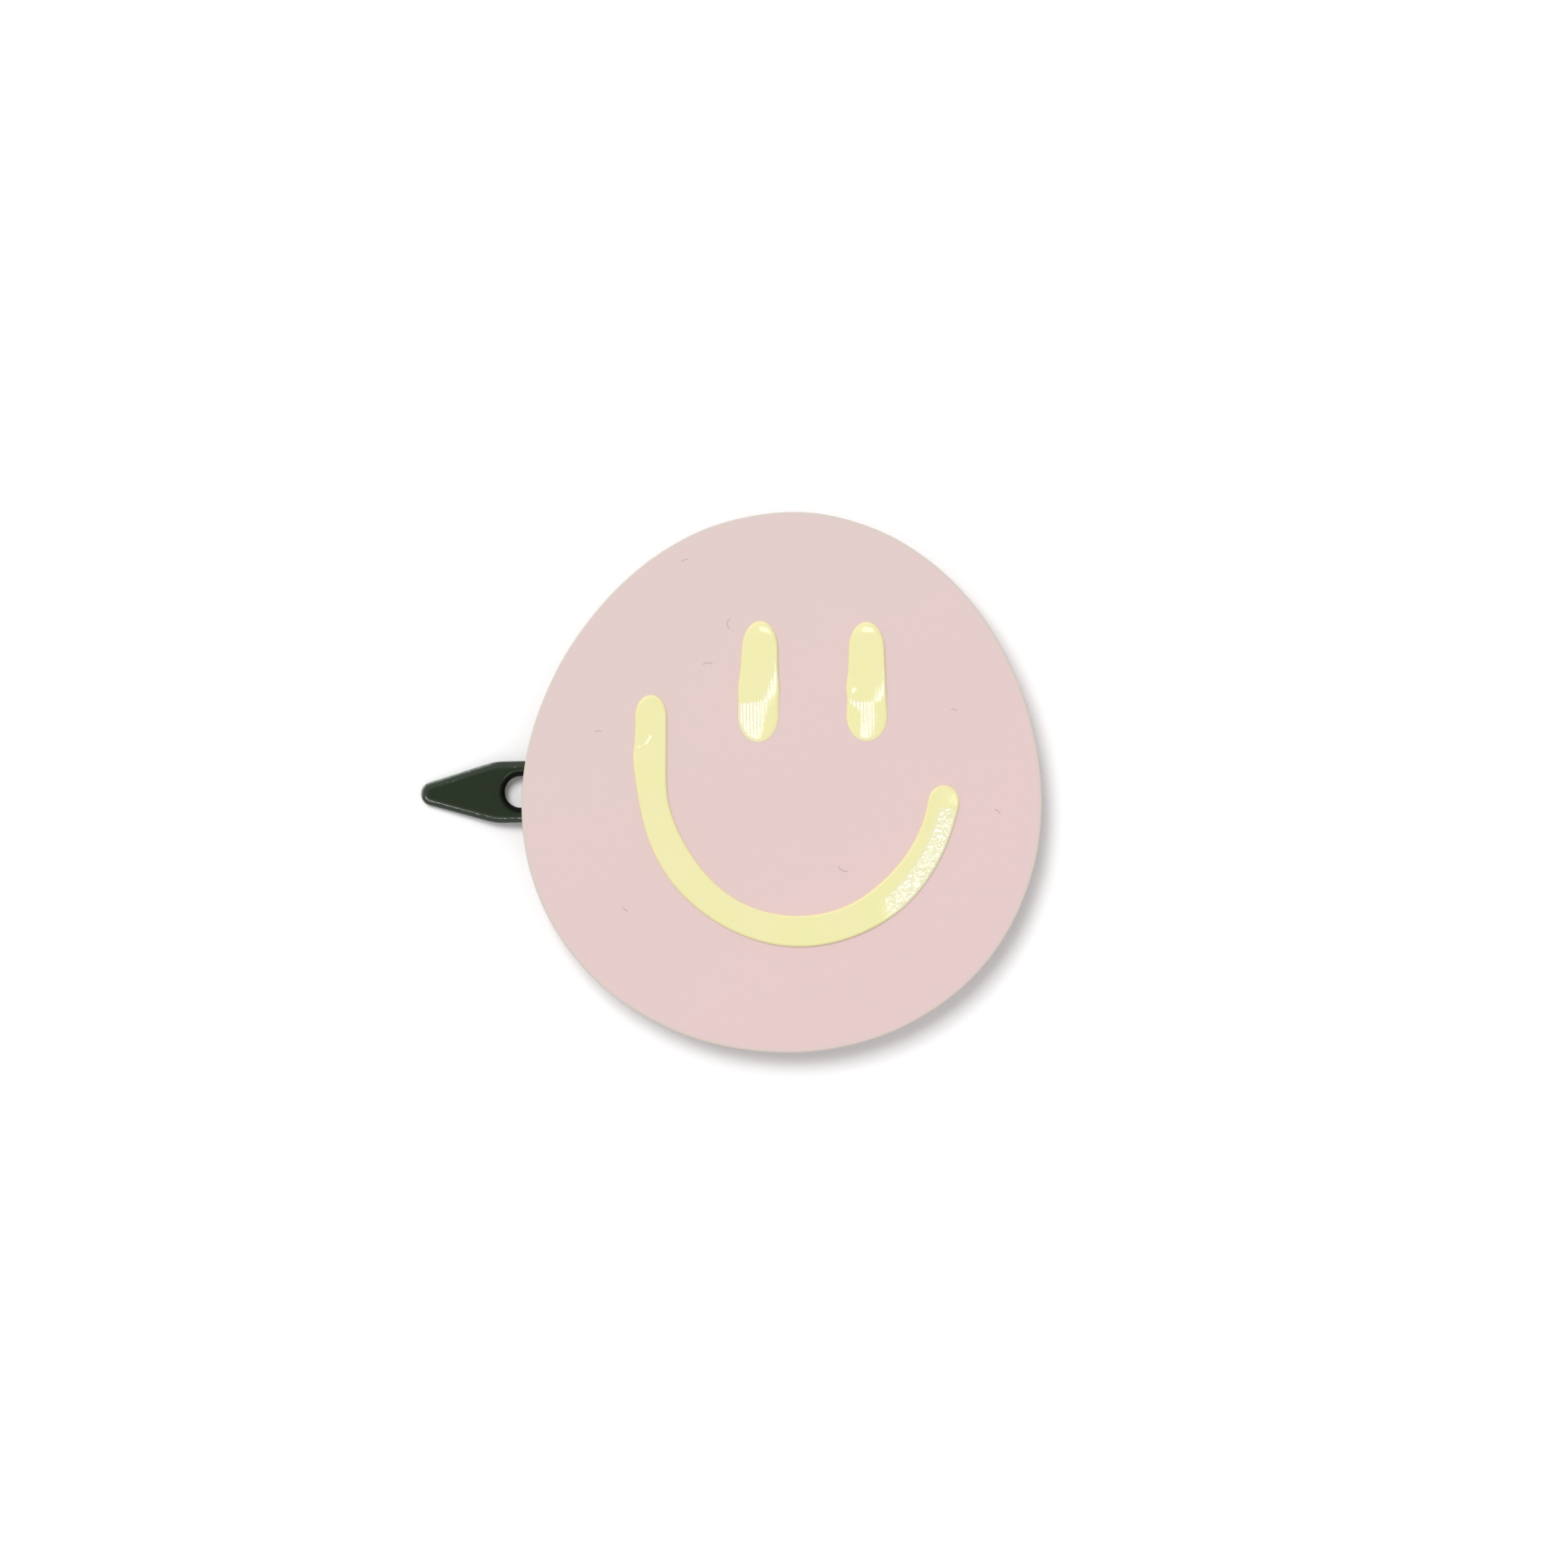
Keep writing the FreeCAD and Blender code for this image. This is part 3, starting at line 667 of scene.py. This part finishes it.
def mark_frame(piece, ring_count, opening_rings, first_outer, outer_rings, outside):
    """Tell the paint where it lies on the outer edge, where a highlight is painted on that edge, and where
    the opening's painted shade goes.

    The rings are counted from the opening's lower edge. outside is the outline's points with their normals.
    """
    painted_edge_highlight, painted_opening_shade, edge = [], [], []
    for number in range(ring_count):
        share = (number - first_outer) / outer_rings
        at_edge = smooth_step(share, 0.3, 0.55) * (1 - smooth_step(share, 0.75, 0.95))
        on_edge = smooth_step(share, 0.0, 0.12) if share < 1.03 else 0.0
        # Painted shade: the opening's wall and edge are marked to be painted nearly black.
        in_opening = smooth_step(opening_rings + 1.5 - number, 0, 3) if number else 0.0
        for point, normal in outside:
            # Painted highlight: a lighter line on the outer edge where it faces the key light, at the upper
            # left of the nose.
            towards_top = smooth_step(0.5 * normal.x - 0.85 * normal.y, 0.1, 0.6)
            painted_edge_highlight.append(at_edge * towards_top * (1 - smooth_step(point.x, PAINTED_HIGHLIGHT_END_X - 1, PAINTED_HIGHLIGHT_END_X)))
            painted_opening_shade.append(in_opening)
            edge.append(on_edge)
    mark(piece, "painted_edge_highlight", painted_edge_highlight)
    mark(piece, "painted_opening_shade", painted_opening_shade)
    mark(piece, "edge", edge)


def make_tongue():
    """The sprung strip. Its root runs on into the heel, so that it bends there as the sheet does."""
    spine = line_of(Vector((TONGUE_TIP[0], 0, 0)), Vector((TONGUE_ROOT[0], 0, 0)), 0.35)

    def half_width(share, side):
        x = TONGUE_TIP[0] + (TONGUE_ROOT[0] - TONGUE_TIP[0]) * share
        if x < TONGUE_NECK[0]:
            return TONGUE_NECK[1]
        slope = (TONGUE_ROOT[1] - TONGUE_NECK[1]) / (TONGUE_ROOT[0] - TONGUE_NECK[0])
        return TONGUE_NECK[1] + slope * (x - TONGUE_NECK[0])

    def at_depth(place, depth):
        """The place at a depth below the sheet's top. Inside the heel the root is a little thinner."""
        tuck = ROOT_TUCK * smooth_step(place.x, 8.4, 8.8) * (2 * depth / SHEET_THICK - 1)
        return Vector((place.x, place.y, arch_height(place.x) + SHEET_THICK - depth + tuck))

    outline = stroke_outline(spine, half_width, TONGUE_TIP[1], 0.12)
    rings = []
    under_edge, upper_edge = 0.1, 0.4
    levels = [(under_edge, SHEET_THICK), (0.0, SHEET_THICK - under_edge)]
    levels += rounded_edge(upper_edge, upper_edge, 6) + [(0.6, 0), (0.8, 0)]
    for inset, depth in levels:
        ring = []
        for point, owner, side in outline:
            place = point.lerp(spine[owner], inset / max((point - spine[owner]).length, inset + 0.05))
            ring.append(at_depth(place, depth))
        rings.append(ring)
    owners = [owner for point, owner, side in outline]
    ridge = [at_depth(point, 0.0) for point in spine]
    keel = [at_depth(point, SHEET_THICK) for point in spine]
    return skin("sprung_tongue", rings, TO_METRES, start=(keel, owners), end=(ridge, owners))


# ---------------------------------------------------------------- glue

def make_bead(name, node, spine, half, foot):
    """A bead of glue squeezed out between the sheet and the disc, with a bulging, wandering edge.

    foot gives the height at which the bead ends below a place.
    """
    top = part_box(node)[1].z / MM + GLUE_SUNK
    seed = 3.0 + spine[0].y

    def half_width(share, side):
        return half

    outline = stroke_outline(spine, half_width, half, half)
    levels = [(0.35, 0.0), (0.1, 0.04), (-0.05, 0.2), (-0.12, 0.45), (-0.1, 0.7), (0.0, 0.9), (0.12, 1.0)]
    rings = []
    for inset, share in levels:
        ring = []
        for point, owner, side in outline:
            wander = BEAD_WANDER * uneven(point, 1.6, seed)
            place = point.lerp(spine[owner], (inset + wander) / half)
            bottom = foot(place)
            ring.append(Vector((place.x, place.y, bottom + (top - bottom) * share)))
        rings.append(ring)
    owners = [owner for point, owner, side in outline]
    keel = [Vector((point.x, point.y, foot(point))) for point in spine]
    lid = [Vector((point.x, point.y, top)) for point in spine]
    return skin(name, rings, TO_METRES, start=(keel, owners), end=(lid, owners))


def make_arm_bead(name, node, side):
    """A bead along one arm. Beside the arm, it hangs lower the farther it is from the arm."""
    low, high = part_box(node)
    middle = Vector(((low.x + high.x) / 2 / MM, (low.y + high.y) / 2 / MM, 0))
    along = Vector((math.cos(ARM_SLANT), side * math.sin(ARM_SLANT), 0))
    spine = line_of(middle - along * ARM_BEAD_REACH, middle + along * ARM_BEAD_REACH, 0.3)

    def foot(place):
        arm_y = abs(middle.y) + (place.x - middle.x) * math.tan(ARM_SLANT)
        off_arm = max(abs(abs(place.y) - arm_y) - 0.75, 0)
        return arch_height(place.x) + SHEET_THICK - 0.05 - 0.9 * off_arm

    return make_bead(name, node, spine, ARM_BEAD_HALF, foot)


def make_heel_bead():
    low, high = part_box("glue_heel")
    middle = Vector(((low.x + high.x) / 2 / MM, 0, 0))
    reach = Vector((HEEL_BEAD_REACH, 0, 0))
    spine = line_of(middle - reach, middle + reach, 0.5)

    def foot(place):
        return SHEET_THICK - GLUE_SUNK

    return make_bead("heel_bead", "glue_heel", spine, HEEL_BEAD_HALF, foot)


# ---------------------------------------------------------------- materials

def add_node(tree, kind, inputs=None, **settings):
    """Add a node, set its properties, and set or link its inputs."""
    made = tree.nodes.new(kind)
    for name, value in settings.items():
        setattr(made, name, value)
    for name, value in (inputs or {}).items():
        if isinstance(value, bpy.types.NodeSocket):
            tree.links.new(value, made.inputs[name])
        else:
            made.inputs[name].default_value = value
    return made


def new_material(name):
    """A material with its node tree, its shader and the place on it in millimetres."""
    material = bpy.data.materials.new(name)
    material.use_nodes = True
    tree = material.node_tree
    shader = tree.nodes["Principled BSDF"]
    place = add_node(tree, "ShaderNodeTexCoord").outputs["Object"]
    scaled = add_node(tree, "ShaderNodeVectorMath", {0: place, "Scale": 1 / MM}, operation="SCALE")
    return material, tree, shader, scaled.outputs["Vector"]


def marked(tree, name):
    """The value that was stored on the mesh under a name."""
    return add_node(tree, "ShaderNodeAttribute", attribute_name=name).outputs["Fac"]


def distance_along(tree, place, way):
    product = add_node(tree, "ShaderNodeVectorMath", {0: place, 1: way}, operation="DOT_PRODUCT")
    return product.outputs["Value"]


def noise_of(tree, place, scale, detail=2.0, roughness=0.5, distortion=0.0):
    inputs = {"Vector": place, "Scale": scale, "Detail": detail, "Roughness": roughness,
              "Distortion": distortion}
    return add_node(tree, "ShaderNodeTexNoise", inputs).outputs["Fac"]


def between(tree, value, low, high, new_low, new_high):
    inputs = {"Value": value, "From Min": low, "From Max": high, "To Min": new_low, "To Max": new_high}
    return add_node(tree, "ShaderNodeMapRange", inputs).outputs["Result"]


def mixed(tree, share, first, second):
    """A colour between two colours."""
    mix = add_node(tree, "ShaderNodeMix", data_type="RGBA")
    for socket, value in ((mix.inputs["Factor"], share), (mix.inputs[6], first), (mix.inputs[7], second)):
        if isinstance(value, bpy.types.NodeSocket):
            tree.links.new(value, socket)
        else:
            socket.default_value = value
    return mix.outputs[2]


def calculate(tree, operation, first, second=0.0, third=0.0):
    made = add_node(tree, "ShaderNodeMath", operation=operation)
    for number, value in enumerate((first, second, third)):
        if isinstance(value, bpy.types.NodeSocket):
            tree.links.new(value, made.inputs[number])
        else:
            made.inputs[number].default_value = value
    return made.outputs["Value"]


def bumped(tree, height, distance, normal=None):
    """A bump whose height of 0 to 1 stands for a distance in millimetres."""
    inputs = {"Height": height, "Distance": distance * MM, "Strength": 1.0}
    if normal is not None:
        inputs["Normal"] = normal
    return add_node(tree, "ShaderNodeBump", inputs).outputs["Normal"]


def hair_mark(tree, place, centre, radius, start, end):
    """1 on a thin arc about a centre, between two bearings in degrees."""
    offset = add_node(tree, "ShaderNodeVectorMath", {0: place, 1: (*centre, 0)}, operation="SUBTRACT")
    flattened = {0: offset.outputs[0], 1: (1, 1, 0)}
    flat = add_node(tree, "ShaderNodeVectorMath", flattened, operation="MULTIPLY").outputs[0]
    length = add_node(tree, "ShaderNodeVectorMath", {0: flat}, operation="LENGTH").outputs["Value"]
    off_arc = calculate(tree, "ABSOLUTE", calculate(tree, "SUBTRACT", length, radius))
    line = between(tree, off_arc, 0.03, 0.09, 1, 0)
    middle, half = math.radians((start + end) / 2), math.radians((end - start) / 2)
    towards_middle = distance_along(tree, flat, (math.cos(middle), math.sin(middle), 0))
    turned = calculate(tree, "DIVIDE", towards_middle, length)
    inside = between(tree, turned, math.cos(half), math.cos(half * 0.8), 0, 1)
    return calculate(tree, "MULTIPLY", line, inside)


def clay_material():
    material, tree, shader, place = new_material("pink_clay")
    # Painted light: besides its random tone, the colour drifts from a little less red at the face's upper
    # left to a little redder at its lower right, along the way the key light falls.
    fall = distance_along(tree, place, (0.5, -0.85, 0))
    drift = calculate(tree, "MULTIPLY_ADD", noise_of(tree, place, 0.11, 2.0), 20.0, fall)
    drift = between(tree, drift, -2, 26, 0, 1)
    colour = mixed(tree, drift, (0.681, 0.538, 0.521, 1), (0.708, 0.534, 0.526, 1))
    fine = noise_of(tree, place, 0.9, 3.0)
    shade = between(tree, fine, 0.35, 0.7, 0.0, 0.1)
    colour = mixed(tree, shade, colour, (0.647, 0.514, 0.485, 1))
    # Painted shade at the rim: darker and beiger towards the outline.
    rim = marked(tree, "rim")
    colour = mixed(tree, rim, colour, (0.63, 0.55, 0.50, 1))
    height = add_node(tree, "ShaderNodeSeparateXYZ", {"Vector": place}).outputs["Z"]
    on_top = between(tree, height, 4.0, 4.2, 0, 0.45)
    for centre, radius, start, end in HAIR_MARKS:
        hair = hair_mark(tree, place, centre, radius, start, end)
        colour = mixed(tree, calculate(tree, "MULTIPLY", hair, on_top), colour, (0.35, 0.25, 0.23, 1))
    tree.links.new(colour, shader.inputs["Base Color"])
    grain = noise_of(tree, place, 3.2, 4.0, 0.6)
    tree.links.new(between(tree, grain, 0.3, 0.7, 0.5, 0.64), shader.inputs["Roughness"])
    normal = bumped(tree, grain, 0.012)
    tree.links.new(normal, shader.inputs["Normal"])
    shader.inputs["Specular IOR Level"].default_value = 0.4
    return material


def paint_material():
    material, tree, shader, place = new_material("yellow_paint")
    broad = between(tree, noise_of(tree, place, 0.22, 2.0), 0.35, 0.65, 0, 1)
    colour = mixed(tree, broad, (0.775, 0.745, 0.355, 1), (0.785, 0.74, 0.385, 1))
    shader.inputs["Roughness"].default_value = 0.35
    shader.inputs["Specular IOR Level"].default_value = 0.3
    shine = marked(tree, "shine")
    inset = marked(tree, "inset")
    away_from_edge = between(tree, inset, 0.14, 0.24, 0.05, 1)
    tree.links.new(calculate(tree, "MULTIPLY", shine, away_from_edge), shader.inputs["Coat Weight"])
    shader.inputs["Coat Roughness"].default_value = 0.1
    shader.inputs["Coat IOR"].default_value = 1.6
    # Painted light: the strokes are paler and warmer towards their outlines, lightening the shade on their
    # steep edges.
    colour = mixed(tree, between(tree, inset, 0.0, 0.22, 1, 0), colour, (0.90, 0.82, 0.50, 1))
    combed = marked(tree, "combed")
    crinkled = marked(tree, "crinkled")
    # Painted highlight: where the skin is combed or crinkled and shines, the base colour is paler, so that
    # the glints there read whiter.
    painted_highlight = calculate(tree, "MULTIPLY", calculate(tree, "MAXIMUM", combed, crinkled), shine)
    colour = mixed(tree, calculate(tree, "MULTIPLY", painted_highlight, 0.45), colour, (0.76, 0.745, 0.62, 1))
    tree.links.new(colour, shader.inputs["Base Color"])
    upright = {"Vector": place, "Rotation": (0, 0, -FACE_TURN), "Scale": (1, 0.1, 1)}
    turned = add_node(tree, "ShaderNodeMapping", upright).outputs["Vector"]
    ridges = {"Vector": turned, "Scale": 0.95, "Distortion": 1.2, "Detail": 0.5, "Detail Scale": 1.1}
    comb = add_node(tree, "ShaderNodeTexWave", ridges).outputs["Fac"]
    crinkles = noise_of(tree, place, 1.25, 0.7, 0.5, 1.6)
    height = calculate(tree, "MULTIPLY", comb, combed)
    height = calculate(tree, "MULTIPLY_ADD", calculate(tree, "MULTIPLY", crinkles, crinkled), 11.0, height)
    normal = bumped(tree, height, 0.006)
    tree.links.new(normal, shader.inputs["Normal"])
    tree.links.new(normal, shader.inputs["Coat Normal"])
    return material


def clip_material():
    material, tree, shader, place = new_material("green_enamel")
    broad = between(tree, noise_of(tree, place, 0.5, 3.0), 0.35, 0.65, 0, 1)
    colour = mixed(tree, broad, (0.0155, 0.028, 0.0145, 1), (0.018, 0.0265, 0.013, 1))
    speck = noise_of(tree, place, 2.8, 2.0, 0.6)
    edge = marked(tree, "edge")
    # Painted highlight: a lighter, speckled line on the nose's edges that face the key light.
    painted_edge_highlight = marked(tree, "painted_edge_highlight")
    painted_edge_highlight = calculate(tree, "MULTIPLY", painted_edge_highlight, between(tree, speck, 0.35, 0.6, 0.45, 1.0))
    colour = mixed(tree, painted_edge_highlight, colour, (0.21, 0.26, 0.22, 1))
    # Painted shade: the opening's wall and edge are nearly black.
    painted_opening_shade = marked(tree, "painted_opening_shade")
    colour = mixed(tree, calculate(tree, "MULTIPLY", painted_opening_shade, 0.9), colour, (0.001, 0.001, 0.001, 1))
    tree.links.new(colour, shader.inputs["Base Color"])
    tree.links.new(between(tree, speck, 0.3, 0.7, 0.08, 0.14), shader.inputs["Roughness"])
    shader.inputs["Specular IOR Level"].default_value = 0.12
    tree.links.new(edge, shader.inputs["Coat Weight"])
    shader.inputs["Coat Roughness"].default_value = 0.11
    uneven_skin = calculate(tree, "MULTIPLY", speck, between(tree, edge, 0, 1, 0.15, 1))
    normal = bumped(tree, uneven_skin, 0.03)
    tree.links.new(normal, shader.inputs["Normal"])
    tree.links.new(normal, shader.inputs["Coat Normal"])
    return material


def glue_material():
    material, tree, shader, place = new_material("cloudy_glue")
    cloud = noise_of(tree, place, 0.9, 3.0)
    cloudy = between(tree, cloud, 0.3, 0.7, 0, 1)
    colour = mixed(tree, cloudy, (0.72, 0.70, 0.62, 1), (0.62, 0.59, 0.50, 1))
    tree.links.new(colour, shader.inputs["Base Color"])
    shader.inputs["Roughness"].default_value = 0.22
    shader.inputs["Transmission Weight"].default_value = 0.35
    tree.links.new(bumped(tree, cloud, 0.05), shader.inputs["Normal"])
    return material


# ---------------------------------------------------------------- studio

def make_floor():
    bpy.ops.mesh.primitive_plane_add(size=6, location=(0, 0, 0))
    floor = bpy.context.object
    floor.name = "floor"
    material, tree, shader, place = new_material("white_card")
    grain = noise_of(tree, place, 0.6, 3.0)
    colour = mixed(tree, grain, (0.96, 0.96, 0.96, 1), (0.98, 0.98, 0.98, 1))
    tree.links.new(colour, shader.inputs["Base Color"])
    shader.inputs["Roughness"].default_value = 0.9
    shader.inputs["Specular IOR Level"].default_value = 0.0
    floor.data.materials.append(material)
    return floor


def make_light(name, target, bearing, tilt, distance, size, power):
    """A rectangular lamp that looks at the target from a bearing and a tilt off the vertical, in degrees.

    Its first side is level and square to the bearing.
    """
    bearing, tilt = math.radians(bearing), math.radians(tilt)
    data = bpy.data.lights.new(name, "AREA")
    data.shape = "RECTANGLE"
    data.size, data.size_y = size
    data.energy = power
    lamp = bpy.data.objects.new(name, data)
    bpy.context.scene.collection.objects.link(lamp)
    away = Vector((math.sin(tilt) * math.cos(bearing), math.sin(tilt) * math.sin(bearing), math.cos(tilt)))
    lamp.location = target + away * distance
    lamp.rotation_euler = away.to_track_quat("Z", "Y").to_euler()
    lamp.visible_camera = False
    return lamp


def make_glint(name, pieces, target, bearing, tilt, size, power, turn=0.0):
    """A lamp that only shows as a reflection in some pieces, turned about its own axis."""
    lamp = make_light(name, target, bearing, tilt, GLINT_DISTANCE, size, power)
    turned = lamp.rotation_euler.to_matrix() @ Matrix.Rotation(math.radians(turn), 3, "Z")
    lamp.rotation_euler = turned.to_euler()
    lamp.visible_diffuse = False
    receivers = bpy.data.collections.new(name + "_receivers")
    for piece in pieces:
        receivers.objects.link(piece)
    lamp.light_linking.receiver_collection = receivers


def make_studio(eyes, smile, clip):
    """A key light that gives no highlights, the lamps that do, and white surroundings."""
    target = FACE @ Vector((0, 0, 0))
    key = make_light("key", target, 125, 24, KEY_DISTANCE, (0.6, 0.6), 12.6)
    key.visible_glossy = False
    make_glint("eye_window", eyes, target, -52, 7.5, (0.28, 0.065), 0.42)
    make_glint("eye_lamp", eyes, target, 78, 13.2, (0.08, 0.06), 0.1)
    make_glint("smile_window", [smile], target, -52, 12, (0.28, 0.065), 0.55)
    nose = Vector((-26 * MM, 0, SHEET_THICK * MM))
    make_glint("clip_strip", clip, nose, -149, 19.3, (0.2, 0.04), 0.42, 59)
    world = bpy.data.worlds.new("studio")
    bpy.context.scene.world = world
    world.use_nodes = True
    background = world.node_tree.nodes["Background"]
    background.inputs["Color"].default_value = (1, 1, 1, 1)
    background.inputs["Strength"].default_value = SURROUNDINGS
    view = bpy.context.scene.view_settings
    view.view_transform = "Standard"
    view.look = "None"


def make_camera():
    """Straight down, upright to the face, with the face a hair below the middle of the view."""
    data = bpy.data.cameras.new("camera")
    data.sensor_width = SENSOR
    data.lens = LENS
    data.clip_start = 0.01
    camera = bpy.data.objects.new("camera", data)
    bpy.context.scene.collection.objects.link(camera)
    distance = VIEW_WIDTH * MM * LENS / SENSOR
    aim = FACE @ Vector(VIEW_MIDDLE)
    camera.location = aim + Vector((0, 0, distance))
    camera.rotation_euler = (0, 0, FACE_TURN)
    bpy.context.scene.camera = camera


# ---------------------------------------------------------------- the whole

def dress(piece, material, nodes, body="clip"):
    """Give a piece its material, hide the CAD nodes that it stands for, and attach it to its body."""
    piece.data.materials.append(material)
    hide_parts(*nodes)
    if body:
        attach(piece, body)


def main():
    clay, paint, enamel, glue = clay_material(), paint_material(), clip_material(), glue_material()
    dress(make_disc(), clay, ["face_disc"])
    left = make_left_eye()
    dress(left, paint, ["left_eye"])
    right = make_right_eye()
    dress(right, paint, ["right_eye"])
    smile = make_smile()
    dress(smile, paint, ["smile"])
    clip = make_frame()
    dress(clip, enamel, ["clip_frame"])
    tongue = make_tongue()
    dress(tongue, enamel, ["clip_tongue"], body=None)
    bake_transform(tongue)
    dress(make_arm_bead("upper_bead", "glue_upper_arm", 1), glue, ["glue_upper_arm"])
    dress(make_arm_bead("lower_bead", "glue_lower_arm", -1), glue, ["glue_lower_arm"])
    dress(make_heel_bead(), glue, ["glue_heel"])
    make_floor()
    make_studio([left, right], smile, [clip, tongue])
    make_camera()


main()
